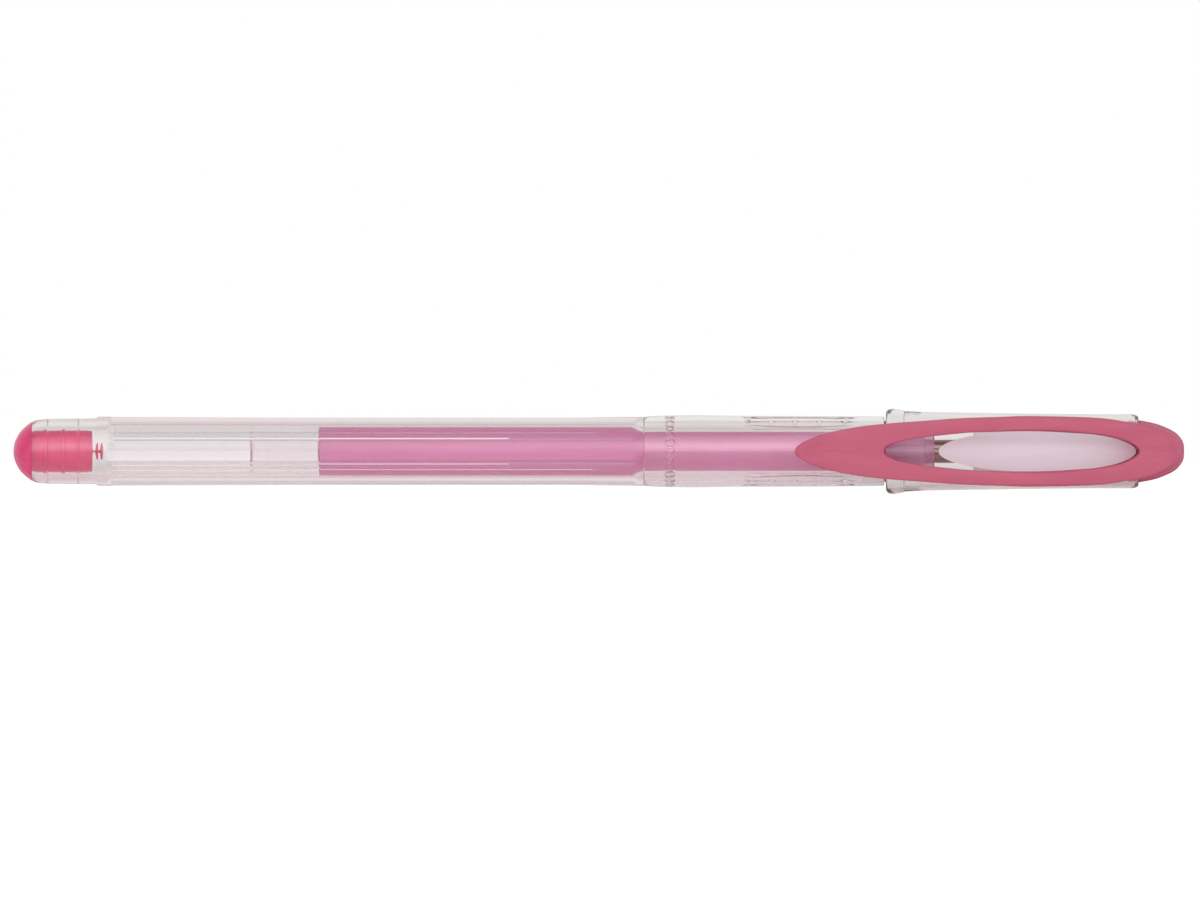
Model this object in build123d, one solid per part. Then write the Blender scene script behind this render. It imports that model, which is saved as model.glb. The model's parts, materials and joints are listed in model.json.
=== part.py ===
from build123d import *
import os
from math import sqrt

# A capped gel pen, in millimetres, lying on its side. X runs along the pen's axis towards the
# cap's end, -Y is the side that the pocket clip is on, and +Z is up.
# Every length called "at" is a station: the distance along the axis from the tail's end.
ORIGIN_AT = 55.0  # the row's origin, on the axis, halfway along the straight part of the barrel
ROOTED = 0.3  # how deep the foot of a rib goes into the body that carries it

# Barrel: one clear moulding, from the tail to the nose's thread
TAIL_DOME_AT = 2.4  # the tail plug's dome ends and the clear barrel starts
POST_STEP_AT = 10.3  # the small step that the posted cap runs up to
POST_STEP_LENGTH = 0.6
STRAIGHT_FROM = 37.9
STRAIGHT_TO = 72.0
GRIP_FROM = 80.5
GRIP_TO = 111.2
TAIL_RADIUS = 4.20
STEP_RADIUS = 4.44
BARREL_RADIUS = 4.31
BARREL_RADIUS_AT_GRIP = 4.41
SLEEVE_SEAT_RADIUS = 3.80
LOCK_BEAD_AT = 83.8
LOCK_BEAD_RADIUS = 4.08
LOCK_BEAD_WIDTH = 1.0
LOCK_BEAD_SLOPE = 0.25
PLUG_BORE_RADIUS = 2.85
PLUG_BORE_TO = 12.0
OCTAGON_APOTHEM = 2.63  # the main bore is an octagon, with one flat towards the clip side
OCTAGON_FROM = 12.4
OCTAGON_TO = 79.6
OCTAGON_FADE = 0.8
ROUND_BORE_RADIUS = 2.75
THREAD_BORE_RADIUS = 3.22
THREAD_FROM = 108.0
THREAD_LEAD = 0.4

# Tail plug
PLUG_SPIGOT_RADIUS = 2.78
PLUG_SPIGOT_TO = 10.2
PLUG_SPIGOT_CHAMFER = 0.4
PLUG_RIBS_AT = (4.2, 6.4, 8.3)
PLUG_RIB_WIDTH = 0.5
PLUG_NECK_RADIUS = 0.45  # the moulding pin left on the plug, with its rounded head
PLUG_PIN_RADIUS = 0.95
PLUG_PIN_FROM = 10.85
PLUG_PIN_TO = 11.5
PLUG_PIN_EDGE = 0.2

# Grip sleeve: clear elastomer with rows of small raised dots
GRIP_DOTS_AT = (93.8, 96.8, 99.8, 102.9, 106.2)
GRIP_DOT_ANGLES = (60, 120, 240, 300)  # rows, from the clip's side; none is under the clip
GRIP_DOT_LENGTH = 1.3
GRIP_DOT_WIDTH = 0.9
GRIP_DOT_HEIGHT = 0.10
GRIP_DOT_SUNK = 0.30
GRIP_RADIUS = 4.52  # where the dots are

# Nose: the tinted cone that screws into the barrel and holds the refill
NOSE_FROM = 108.3
NOSE_FLANGE_RADIUS = 3.95
NOSE_FLANGE_TO = 111.8
NOSE_ROOT_RADIUS = 3.55
NOSE_RING_AT = 116.5
NOSE_RING_RADIUS = 2.62
NOSE_RING_LENGTH = 0.6
NOSE_RING_STEP = 0.1
NOSE_TO = 117.6
NOSE_END_RADIUS = 2.25
THREAD_ROOT_RADIUS = 3.00
THREAD_CREST_RADIUS = 3.16
THREAD_RIDGES = 2
THREAD_RIDGE_AT = 108.8
THREAD_PITCH = 1.1
THREAD_RIDGE_WIDTH = 0.5

# Refill
REFILL_FROM = 12.9
REFILL_RADIUS = 2.53
REFILL_INNER_RADIUS = 2.08
GREASE_FROM = 30.9
MENISCUS = 0.65  # depth of the grease's hollow rear face
INK_FROM = 39.15
INK_BOW = 0.25  # the ink's rear face bulges into the grease
HOLDER_FROM = 103.6
REFILL_TO = 109.2
HOLDER_FLANGE_TO = 110.4
HOLDER_NECK_RADIUS = 1.98
HOLDER_TO = 116.2
HOLDER_BORE_RADIUS = 0.95
NECK_CLEARANCE = 0.08  # between the refill's front and the nose around it
VALVE_HOLE_RADIUS = 0.45
VALVE_SEAT_FROM = 105.4
VALVE_SEAT_AT = 106.0
VALVE_CHAMBER_TO = 108.2
VALVE_CHAMBER_RADIUS = 1.25
VALVE_BALL_RADIUS = 0.75
VALVE_BALL_GAP = 0.1  # the ball floats just off its seat

# Metal point and its rolling ball
TIP_FROM = 112.6
TIP_RADIUS = 1.50
TIP_CONE_FROM = 121.6
TIP_CONE_TO = 126.9
TIP_PIPE_RADIUS = 0.46
TIP_BORE_RADIUS = 0.80
TIP_BORE_TO = 122.4
TIP_FINE_BORE_RADIUS = 0.30
TIP_BORE_CHAMFER = 0.5
FEED_RADIUS = 0.12
FEED_FROM = 128.08
FEED_CONE_FROM = 127.90
BALL_RADIUS = 0.25
BALL_AT = 128.2
SOCKET_RADIUS = 0.265
RIM_AHEAD = 0.12  # the rim closes past the ball's middle and so keeps it in
RIM_WALL = 0.03
RIM_LENGTH = 0.2
SPRING_WIRE_RADIUS = 0.07
SPRING_RADIUS = 0.55
SPRING_FROM = 116.8
SPRING_TO = 121.9
SPRING_TURNS = 6

# Cap: a clear tapered tube with a collar, closed by the coloured end plug
CAP_FROM = 111.4
COLLAR_AT = 112.4
COLLAR_RADIUS = 5.43
CAP_MOUTH_RADIUS = 5.12
CAP_BODY_FROM = 114.4
CAP_BODY_RADIUS = 5.10
CAP_END_RADIUS = 4.74
CAP_CHAMFER_AT = 142.6
CAP_TO = 143.7
CAP_RIM_RADIUS = 4.33
CAP_MOUTH_BORE = 4.75
CAP_MOUTH_BORE_TO = 113.0
CAP_BORE_FRONT = 4.30
CAP_BORE_REAR = 3.90
CAP_BORE_REAR_AT = 131.0

# End plug, and the root block that carries the clip
PEN_LENGTH = 149.5
END_PLUG_RADIUS = 4.02
END_FLAT_RADIUS = 0.95
END_SPIGOT_FROM = 135.8
END_SPIGOT_RADIUS = 3.82
END_SPIGOT_BORE = 2.70
END_SPIGOT_FLOOR = 1.2
END_RIBS_AT = (136.4, 142.7)
END_RIB_WIDTH = 0.6

# Inner cap and the soft pad that the writing ball rests near
INNER_CAP_FROM = 122.6
INNER_CAP_RADIUS = 2.85
INNER_CAP_BORE = 1.75
INNER_CAP_FLANGE_AT = 131.2
INNER_CAP_TO = 132.2
SEAL_FROM = 128.60
SEAL_TO = 130.6

# Clip: a long loop, round the window that the label shows through
DEEP = 14  # cuts and extrusions of the clip side run further than this side is deep
WIDE = 10
CLIP_TIP_AT = 99.8
CLIP_OUTER = 9.10  # distance of the clip's outer face from the axis
CLIP_THICKNESS = 1.50
CLIP_TIP_DROP = 2.30  # how far the tip's face bends down towards the grip
CLIP_HINGE_AT = 145.3  # where the root flexes
CLIP_HUB_RADIUS = 1.15
CLIP_HUB_CLEARANCE = 0.07
WINDOW_FROM = 110.9
WINDOW_TO = 143.8
LABEL_FROM = 118.1
LABEL_TO = 143.3
LABEL_HALF_WIDTH = 2.62
LABEL_THICKNESS = 0.08


def x_at(station):
    return station - ORIGIN_AT


def turned(points):
    """A solid of revolution about the pen's axis, from its outline in (station, radius)."""
    outline = Polyline(*[(x_at(s), r) for s, r in points], close=True)
    return revolve(make_face(outline), Axis.X, 360)


def rod(start, end, radius, end_radius=None):
    last = radius if end_radius is None else end_radius
    return turned([(start, 0), (start, radius), (end, last), (end, 0)])


def ring(start, end, inner, outer):
    return turned([(start, inner), (start, outer), (end, outer), (end, inner)])


def barrel_outline():
    return [
        (TAIL_DOME_AT, 0),
        (TAIL_DOME_AT, 3.80),
        (2.9, 3.98),
        (3.8, 4.09),
        (5.0, 4.15),
        (POST_STEP_AT, TAIL_RADIUS),
        (POST_STEP_AT + POST_STEP_LENGTH, STEP_RADIUS),
        (12.0, STEP_RADIUS),
        (12.9, 4.39),
        (STRAIGHT_FROM, BARREL_RADIUS),
        (STRAIGHT_TO, BARREL_RADIUS),
        (GRIP_FROM, BARREL_RADIUS_AT_GRIP),
        (GRIP_FROM, SLEEVE_SEAT_RADIUS),
        (GRIP_TO, SLEEVE_SEAT_RADIUS),
        (GRIP_TO, 0),
    ]


def lock_bead():
    """Half-round ring that keys the grip sleeve to the barrel, as an outline in its seat."""
    low, high = LOCK_BEAD_AT - LOCK_BEAD_WIDTH / 2, LOCK_BEAD_AT + LOCK_BEAD_WIDTH / 2
    foot = SLEEVE_SEAT_RADIUS - ROOTED
    return turned(
        [
            (low, foot),
            (low, SLEEVE_SEAT_RADIUS),
            (low + LOCK_BEAD_SLOPE, LOCK_BEAD_RADIUS),
            (high - LOCK_BEAD_SLOPE, LOCK_BEAD_RADIUS),
            (high, SLEEVE_SEAT_RADIUS),
            (high, foot),
        ]
    )


def octagon_bore():
    """The main bore: an octagonal prism, with flats that face the clip side and the top."""
    octagon = RegularPolygon(OCTAGON_APOTHEM, 8, major_radius=False, rotation=180 / 8)
    section = Plane.YZ.offset(x_at(OCTAGON_FROM)) * octagon
    return extrude(section, OCTAGON_TO - OCTAGON_FROM)


def barrel_tube():
    tube = turned(barrel_outline()) + lock_bead()
    tail_bore = turned(
        [
            (TAIL_DOME_AT - 1, 0),
            (TAIL_DOME_AT - 1, PLUG_BORE_RADIUS),
            (PLUG_BORE_TO, PLUG_BORE_RADIUS),
            (OCTAGON_FROM, OCTAGON_APOTHEM),
            (OCTAGON_FROM, 0),
        ]
    )
    front_bore = turned(
        [
            (OCTAGON_TO, 0),
            (OCTAGON_TO, OCTAGON_APOTHEM),
            (OCTAGON_TO + OCTAGON_FADE, ROUND_BORE_RADIUS),
            (THREAD_FROM - THREAD_LEAD, ROUND_BORE_RADIUS),
            (THREAD_FROM, THREAD_BORE_RADIUS),
            (GRIP_TO + 1, THREAD_BORE_RADIUS),
            (GRIP_TO + 1, 0),
        ]
    )
    return tube - tail_bore - octagon_bore() - front_bore


def tail_plug():
    dome = [
        (0, 0),
        (0, 0.40),
        (0.16, 1.12),
        (0.40, 1.72),
        (0.72, 2.28),
        (1.1, 2.76),
        (1.48, 3.14),
        (1.86, 3.45),
        (TAIL_DOME_AT, 3.80),
    ]
    spigot = [
        (TAIL_DOME_AT, PLUG_SPIGOT_RADIUS),
        (PLUG_SPIGOT_TO - PLUG_SPIGOT_CHAMFER, PLUG_SPIGOT_RADIUS),
        (PLUG_SPIGOT_TO, PLUG_SPIGOT_RADIUS - PLUG_SPIGOT_CHAMFER),
        (PLUG_SPIGOT_TO, PLUG_NECK_RADIUS),
        (PLUG_PIN_FROM, PLUG_NECK_RADIUS),
        (PLUG_PIN_FROM + PLUG_PIN_EDGE, PLUG_PIN_RADIUS),
        (PLUG_PIN_TO - PLUG_PIN_EDGE, PLUG_PIN_RADIUS),
        (PLUG_PIN_TO, PLUG_NECK_RADIUS),
        (PLUG_PIN_TO, 0),
    ]
    plug = turned(dome + spigot)
    for at in PLUG_RIBS_AT:
        low, high = at - PLUG_RIB_WIDTH / 2, at + PLUG_RIB_WIDTH / 2
        plug += ring(low, high, PLUG_SPIGOT_RADIUS - ROOTED, PLUG_BORE_RADIUS)
    return plug


def grip_outline():
    return [
        (GRIP_FROM, SLEEVE_SEAT_RADIUS),
        (GRIP_FROM, BARREL_RADIUS_AT_GRIP),
        (81.2, 4.48),
        (84.1, 4.58),
        (87.5, 4.62),
        (91.8, 4.55),
        (97.0, 4.54),
        (106.3, 4.48),
        (GRIP_TO - 0.3, 4.45),
        (GRIP_TO, 4.20),
        (GRIP_TO, SLEEVE_SEAT_RADIUS),
    ]


def grip_dot(at, angle):
    """One raised dot: an ellipsoid sunk in the sleeve, at an angle from the clip's side."""
    size = (GRIP_DOT_LENGTH / 2, GRIP_DOT_WIDTH / 2, GRIP_DOT_SUNK + GRIP_DOT_HEIGHT)
    blob = scale(Sphere(1), by=size)
    return Rot(X=90 + angle) * Pos(x_at(at), 0, GRIP_RADIUS - GRIP_DOT_SUNK) * blob


def grip_sleeve():
    sleeve = turned(grip_outline())
    for at in GRIP_DOTS_AT:
        for angle in GRIP_DOT_ANGLES:
            sleeve += grip_dot(at, angle)
    return sleeve - lock_bead() - ring(GRIP_FROM, GRIP_TO, 0.1, SLEEVE_SEAT_RADIUS)


def nose_cone():
    shell = turned(
        [
            (NOSE_FROM, 0),
            (NOSE_FROM, THREAD_ROOT_RADIUS),
            (GRIP_TO, THREAD_ROOT_RADIUS),
            (GRIP_TO, NOSE_FLANGE_RADIUS),
            (NOSE_FLANGE_TO, NOSE_FLANGE_RADIUS),
            (NOSE_FLANGE_TO, NOSE_ROOT_RADIUS),
            (NOSE_RING_AT, NOSE_RING_RADIUS - NOSE_RING_STEP),
            (NOSE_RING_AT, NOSE_RING_RADIUS),
            (NOSE_RING_AT + NOSE_RING_LENGTH, NOSE_RING_RADIUS),
            (NOSE_RING_AT + NOSE_RING_LENGTH, NOSE_END_RADIUS + 0.15),
            (NOSE_TO, NOSE_END_RADIUS),
            (NOSE_TO, 0),
        ]
    )
    for k in range(THREAD_RIDGES):
        start = THREAD_RIDGE_AT + k * THREAD_PITCH
        end = start + THREAD_RIDGE_WIDTH
        shell += ring(start, end, THREAD_ROOT_RADIUS - ROOTED, THREAD_CREST_RADIUS)
    neck = HOLDER_NECK_RADIUS + NECK_CLEARANCE
    bore = turned(
        [
            (THREAD_FROM, 0),
            (THREAD_FROM, REFILL_RADIUS + NECK_CLEARANCE),
            (HOLDER_FLANGE_TO + NECK_CLEARANCE, REFILL_RADIUS + NECK_CLEARANCE),
            (HOLDER_FLANGE_TO + NECK_CLEARANCE, neck),
            (HOLDER_TO + NECK_CLEARANCE, neck),
            (HOLDER_TO + NECK_CLEARANCE, TIP_RADIUS + NECK_CLEARANCE),
            (NOSE_TO + 1, TIP_RADIUS + NECK_CLEARANCE),
            (NOSE_TO + 1, 0),
        ]
    )
    return shell - bore


def refill_tube():
    return ring(REFILL_FROM, REFILL_TO, REFILL_INNER_RADIUS, REFILL_RADIUS)


def bowed_face(station, bow):
    """Outline of a liquid's end face, from its edge to the axis, where it stands bow further on."""
    edge = REFILL_INNER_RADIUS
    if bow == 0:
        return Line((x_at(station), edge), (x_at(station), 0))
    curve = (edge**2 + bow**2) / (2 * bow)
    middle = sqrt(curve**2 - (edge / 2) ** 2) * (1 if bow > 0 else -1) - (curve - bow)
    return ThreePointArc(
        (x_at(station), edge), (x_at(station) + middle, edge / 2), (x_at(station) + bow, 0)
    )


def column(start, start_bow, end, end_bow):
    """A plug of liquid in the refill tube, between two faces that may bow forward or back."""
    rear, front = bowed_face(start, start_bow), bowed_face(end, end_bow)
    outline = Curve() + [rear, Line(rear @ 0, front @ 0), front, Line(front @ 1, rear @ 1)]
    return revolve(make_face(outline), Axis.X, 360)


def grease_follower():
    """Clear grease plug behind the ink, with a hollow free face."""
    return column(GREASE_FROM - MENISCUS, MENISCUS, INK_FROM, -INK_BOW)


def ink_column():
    return column(INK_FROM, -INK_BOW, HOLDER_FROM, 0)


def tip_holder():
    """Plastic stopper that joins the metal point to the tube, with the ink's one-way valve."""
    body = turned(
        [
            (HOLDER_FROM, 0),
            (HOLDER_FROM, REFILL_INNER_RADIUS),
            (REFILL_TO, REFILL_INNER_RADIUS),
            (REFILL_TO, REFILL_RADIUS),
            (HOLDER_FLANGE_TO, REFILL_RADIUS),
            (HOLDER_FLANGE_TO, HOLDER_NECK_RADIUS),
            (HOLDER_TO, HOLDER_NECK_RADIUS),
            (HOLDER_TO, 0),
        ]
    )
    channel = turned(
        [
            (HOLDER_FROM - 1, 0),
            (HOLDER_FROM - 1, VALVE_HOLE_RADIUS),
            (VALVE_SEAT_FROM, VALVE_HOLE_RADIUS),
            (VALVE_SEAT_AT, VALVE_CHAMBER_RADIUS),
            (VALVE_CHAMBER_TO, VALVE_CHAMBER_RADIUS),
            (VALVE_CHAMBER_TO + 0.5, HOLDER_BORE_RADIUS),
            (TIP_FROM, HOLDER_BORE_RADIUS),
            (TIP_FROM, TIP_RADIUS),
            (HOLDER_TO + 1, TIP_RADIUS),
            (HOLDER_TO + 1, 0),
        ]
    )
    return body - channel


def valve_ball():
    return Pos(X=x_at(VALVE_SEAT_AT) + VALVE_BALL_RADIUS + VALVE_BALL_GAP) * Sphere(VALVE_BALL_RADIUS)


def metal_tip():
    rim_at = BALL_AT + RIM_AHEAD
    body = turned(
        [
            (TIP_FROM, 0),
            (TIP_FROM, TIP_RADIUS),
            (TIP_CONE_FROM, TIP_RADIUS),
            (TIP_CONE_TO, TIP_PIPE_RADIUS),
            (rim_at - RIM_LENGTH, TIP_PIPE_RADIUS),
            (rim_at, SOCKET_RADIUS + RIM_WALL),
            (rim_at, 0),
        ]
    )
    bore = turned(
        [
            (TIP_FROM - 1, 0),
            (TIP_FROM - 1, TIP_BORE_RADIUS),
            (TIP_BORE_TO, TIP_BORE_RADIUS),
            (TIP_BORE_TO + TIP_BORE_CHAMFER, TIP_FINE_BORE_RADIUS),
            (FEED_CONE_FROM, TIP_FINE_BORE_RADIUS),
            (FEED_FROM, FEED_RADIUS),
            (BALL_AT, FEED_RADIUS),
            (BALL_AT, 0),
        ]
    )
    socket = Pos(X=x_at(BALL_AT)) * Sphere(SOCKET_RADIUS)
    return body - bore - socket


def writing_ball():
    return Pos(X=x_at(BALL_AT)) * Sphere(BALL_RADIUS)


def tip_spring():
    """Fine coil spring in the point, with a straight end that reaches up behind the ball."""
    length = SPRING_TO - SPRING_FROM
    helix = Helix(length / SPRING_TURNS, length, SPRING_RADIUS)
    start = Plane(origin=helix @ 0, z_dir=helix % 0)
    coil = sweep(start * Circle(SPRING_WIRE_RADIUS), path=helix)
    return Pos(X=x_at(SPRING_FROM)) * Rot(Y=90) * coil


def cap_tube():
    outside = [
        (CAP_FROM, CAP_MOUTH_RADIUS),
        (111.8, 5.33),
        (COLLAR_AT, COLLAR_RADIUS),
        (113.2, 5.28),
        (CAP_BODY_FROM, CAP_BODY_RADIUS),
        (119.6, 4.97),
        (129.8, 4.81),
        (137.5, CAP_END_RADIUS),
        (CAP_CHAMFER_AT, CAP_END_RADIUS),
        (CAP_TO, CAP_RIM_RADIUS),
    ]
    inside = [
        (CAP_TO, CAP_BORE_REAR),
        (CAP_BORE_REAR_AT, CAP_BORE_REAR),
        (CAP_BODY_FROM, CAP_BORE_FRONT),
        (CAP_MOUTH_BORE_TO, CAP_MOUTH_BORE),
        (CAP_FROM, CAP_MOUTH_BORE),
    ]
    return turned(outside + inside)


def inner_cap():
    cup = turned(
        [
            (INNER_CAP_FROM, INNER_CAP_BORE),
            (INNER_CAP_FROM, INNER_CAP_RADIUS),
            (INNER_CAP_FLANGE_AT, INNER_CAP_RADIUS),
            (INNER_CAP_FLANGE_AT, CAP_BORE_REAR),
            (INNER_CAP_TO, CAP_BORE_REAR),
            (INNER_CAP_TO, 0),
            (SEAL_TO, 0),
            (SEAL_TO, INNER_CAP_BORE),
        ]
    )
    return cup


def cap_seal():
    return rod(SEAL_FROM, SEAL_TO, INNER_CAP_BORE)


def end_bullet():
    """The rounded end of the cap, with its hollow spigot and two press ribs in the tube."""
    nose = [
        (CAP_TO, 0),
        (CAP_TO, END_PLUG_RADIUS),
        (144.6, 3.83),
        (145.4, 3.66),
        (146.2, 3.44),
        (147.0, 3.12),
        (147.9, 2.70),
        (148.6, 2.23),
        (149.1, 1.65),
        (PEN_LENGTH, END_FLAT_RADIUS),
        (PEN_LENGTH, 0),
    ]
    plug = turned(nose) + rod(END_SPIGOT_FROM, CAP_TO, END_SPIGOT_RADIUS)
    for at in END_RIBS_AT:
        low, high = at - END_RIB_WIDTH / 2, at + END_RIB_WIDTH / 2
        plug += ring(low, high, END_SPIGOT_RADIUS - ROOTED, CAP_BORE_REAR)
    return plug - rod(END_SPIGOT_FROM - 1, CAP_TO - END_SPIGOT_FLOOR, END_SPIGOT_BORE)


def clip_plan():
    """The clip seen square on, to the pen's end: its outer outline, as a face in X and Z."""
    half = [
        (103.0, 2.10),
        (107.7, 3.10),
        (120.9, 4.22),
        (129.8, 4.50),
        (138.2, 4.28),
        (142.3, 3.72),
        (145.2, 3.10),
        (147.1, 2.32),
        (148.5, 1.40),
    ]
    end = (149.3, 0.80)
    upper = [(x_at(s), w) for s, w in half + [end]]
    lower = [(x, -w) for x, w in reversed(upper)]
    tip = (x_at(CLIP_TIP_AT), 0)
    curve = Spline(*(lower[1:] + [tip] + upper[:-1]))
    top_end = Line(upper[-2], upper[-1])
    back = Line(upper[-1], lower[0])
    low_end = Line(lower[0], lower[1])
    return make_face(Curve() + [curve, top_end, back, low_end])


def window_plan():
    half = [
        (111.9, 0.95),
        (113.9, 1.52),
        (117.5, 2.05),
        (123.4, 2.48),
        (130.6, 2.60),
        (137.5, 2.24),
        (141.1, 1.66),
        (143.0, 0.78),
    ]
    upper = [(x_at(s), w) for s, w in half]
    lower = [(x, -w) for x, w in reversed(upper)]
    first = (x_at(WINDOW_FROM), 0)
    last = (x_at(WINDOW_TO), 0)
    return make_face(Spline(first, *upper, last, *lower, periodic=True))


def through(plan):
    """Extrudes a face drawn in X and Z through the whole depth of the clip side."""
    upright = Rot(X=90) * plan
    return extrude(upright, DEEP, dir=(0, -1, 0))


def clip_side():
    """The clip arm from the side: a slim bar whose tip bends down towards the grip."""
    outer = CLIP_OUTER
    inner = CLIP_OUTER - CLIP_THICKNESS
    tip = outer - CLIP_TIP_DROP
    top = Spline(
        (x_at(CLIP_TIP_AT), -tip),
        (x_at(104.5), -(outer - 0.85)),
        (x_at(112.0), -(outer - 0.25)),
        (x_at(122.0), -outer),
    )
    hub_y = -(outer - CLIP_HUB_RADIUS)
    top_run = Line(top @ 1, (x_at(CLIP_HINGE_AT), -outer))
    hub = ThreePointArc(
        (x_at(CLIP_HINGE_AT), -outer),
        (x_at(CLIP_HINGE_AT) + CLIP_HUB_RADIUS, hub_y),
        (x_at(CLIP_HINGE_AT), hub_y + CLIP_HUB_RADIUS),
    )
    under = Polyline(
        (x_at(CLIP_HINGE_AT), hub_y + CLIP_HUB_RADIUS),
        (x_at(140.5), -inner),
        (x_at(113.0), -(inner - 0.25)),
    )
    bump = Spline(
        (x_at(113.0), -(inner - 0.25)),
        (x_at(108.0), -(inner - 0.85)),
        (x_at(104.3), -(inner - 2.1)),
        (x_at(101.6), -(inner - 2.25)),
        (x_at(CLIP_TIP_AT), -(inner - 1.75)),
    )
    front = Line(bump @ 1, (x_at(CLIP_TIP_AT), -tip))
    return make_face(Curve() + [top, top_run, hub, under, bump, front])


def clip_arm():
    bar = extrude(clip_side(), WIDE, both=True)
    arm = bar & through(clip_plan())
    return arm - through(window_plan())


def hub_recess(radius):
    y = -(CLIP_OUTER - CLIP_HUB_RADIUS)
    return Pos(x_at(CLIP_HINGE_AT), y, 0) * Cylinder(radius, WIDE)


def root_side():
    """The root block from the side: it rises from the bullet to the clip's outer face."""
    left = x_at(144.1)
    right = x_at(149.3)
    crown = ThreePointArc(
        (x_at(146.6), -CLIP_OUTER),
        (x_at(148.5), -(CLIP_OUTER - 0.85)),
        (right, -(CLIP_OUTER - 2.9)),
    )
    shelf = -(CLIP_OUTER - 2 * CLIP_HUB_RADIUS - 0.2)
    rest = Polyline(
        (right, -(CLIP_OUTER - 2.9)),
        (right, -1.0),
        (left, -1.0),
        (left, shelf),
        (x_at(CLIP_HINGE_AT), shelf),
        (x_at(CLIP_HINGE_AT), -(CLIP_OUTER - CLIP_HUB_RADIUS)),
        (x_at(145.9), -CLIP_OUTER),
        (x_at(146.6), -CLIP_OUTER),
    )
    return make_face(Curve() + [crown, rest])


def end_plug():
    block = extrude(root_side(), WIDE, both=True) & through(clip_plan())
    block -= hub_recess(CLIP_HUB_RADIUS + CLIP_HUB_CLEARANCE)
    return end_bullet() + block


def cap_label():
    """Thin oval film on the cap tube, under the clip's window."""
    middle = (LABEL_FROM + LABEL_TO) / 2
    oval = Pos(X=x_at(middle)) * Ellipse((LABEL_TO - LABEL_FROM) / 2, LABEL_HALF_WIDTH)
    outside = [(114.4, 5.10), (119.6, 4.97), (129.8, 4.81), (137.5, 4.74), (143.5, 4.74)]
    film = turned(
        [(s, r + LABEL_THICKNESS) for s, r in outside] + [(s, r) for s, r in reversed(outside)]
    )
    return film & through(oval)


PARTS = {
    "barrel_tube": barrel_tube,
    "tail_plug": tail_plug,
    "grip_sleeve": grip_sleeve,
    "nose_cone": nose_cone,
    "refill_tube": refill_tube,
    "grease_follower": grease_follower,
    "ink_column": ink_column,
    "tip_holder": tip_holder,
    "valve_ball": valve_ball,
    "metal_tip": metal_tip,
    "tip_spring": tip_spring,
    "writing_ball": writing_ball,
    "cap_tube": cap_tube,
    "inner_cap": inner_cap,
    "cap_seal": cap_seal,
    "cap_label": cap_label,
    "end_plug": end_plug,
    "clip_arm": clip_arm,
}

os.makedirs("parts", exist_ok=True)
for name, make in PARTS.items():
    export_step(make(), f"parts/{name}.step")
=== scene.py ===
"""A capped gel pen lying on its side: the looks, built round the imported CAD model.

Lengths are in millimetres until they reach a mesh. A station is the distance along the pen's
axis from the tail's end. The clip is on the -Y side, and angles round the axis start there.
"""

import json
import math

import bmesh
import bpy
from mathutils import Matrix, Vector


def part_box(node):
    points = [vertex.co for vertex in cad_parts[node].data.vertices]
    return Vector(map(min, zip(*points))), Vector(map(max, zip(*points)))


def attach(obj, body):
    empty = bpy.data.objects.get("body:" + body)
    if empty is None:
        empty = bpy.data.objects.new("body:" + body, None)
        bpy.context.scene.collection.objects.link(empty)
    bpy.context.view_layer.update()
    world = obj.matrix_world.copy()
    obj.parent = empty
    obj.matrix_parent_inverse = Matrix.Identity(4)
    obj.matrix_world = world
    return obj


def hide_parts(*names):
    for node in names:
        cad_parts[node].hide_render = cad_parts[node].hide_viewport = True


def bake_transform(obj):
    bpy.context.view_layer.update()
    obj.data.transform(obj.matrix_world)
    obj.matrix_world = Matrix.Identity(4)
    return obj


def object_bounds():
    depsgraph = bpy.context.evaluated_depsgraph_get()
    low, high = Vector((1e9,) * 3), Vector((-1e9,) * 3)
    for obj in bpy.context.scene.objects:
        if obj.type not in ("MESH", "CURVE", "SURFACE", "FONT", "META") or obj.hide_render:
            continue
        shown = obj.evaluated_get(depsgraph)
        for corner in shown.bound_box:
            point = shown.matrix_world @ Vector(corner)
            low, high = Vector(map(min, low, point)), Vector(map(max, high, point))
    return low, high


MM = 0.001
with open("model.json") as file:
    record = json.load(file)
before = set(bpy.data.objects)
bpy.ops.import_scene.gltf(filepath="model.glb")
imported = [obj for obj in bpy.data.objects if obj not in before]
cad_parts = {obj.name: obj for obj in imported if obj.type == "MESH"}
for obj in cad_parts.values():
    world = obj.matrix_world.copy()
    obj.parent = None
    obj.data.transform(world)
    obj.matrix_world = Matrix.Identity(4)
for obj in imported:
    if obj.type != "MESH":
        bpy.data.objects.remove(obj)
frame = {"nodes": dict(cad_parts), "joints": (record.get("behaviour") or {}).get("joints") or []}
cad_low, cad_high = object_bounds()
TAIL_X = cad_low.x
FLOOR_Z = cad_low.z


def station_of(x):
    return (x - TAIL_X) / MM


def span(node):
    """First and last station of a CAD node."""
    low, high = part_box(node)
    return station_of(low.x), station_of(high.x)


def radius_of(node):
    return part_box(node)[1].z / MM


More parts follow.
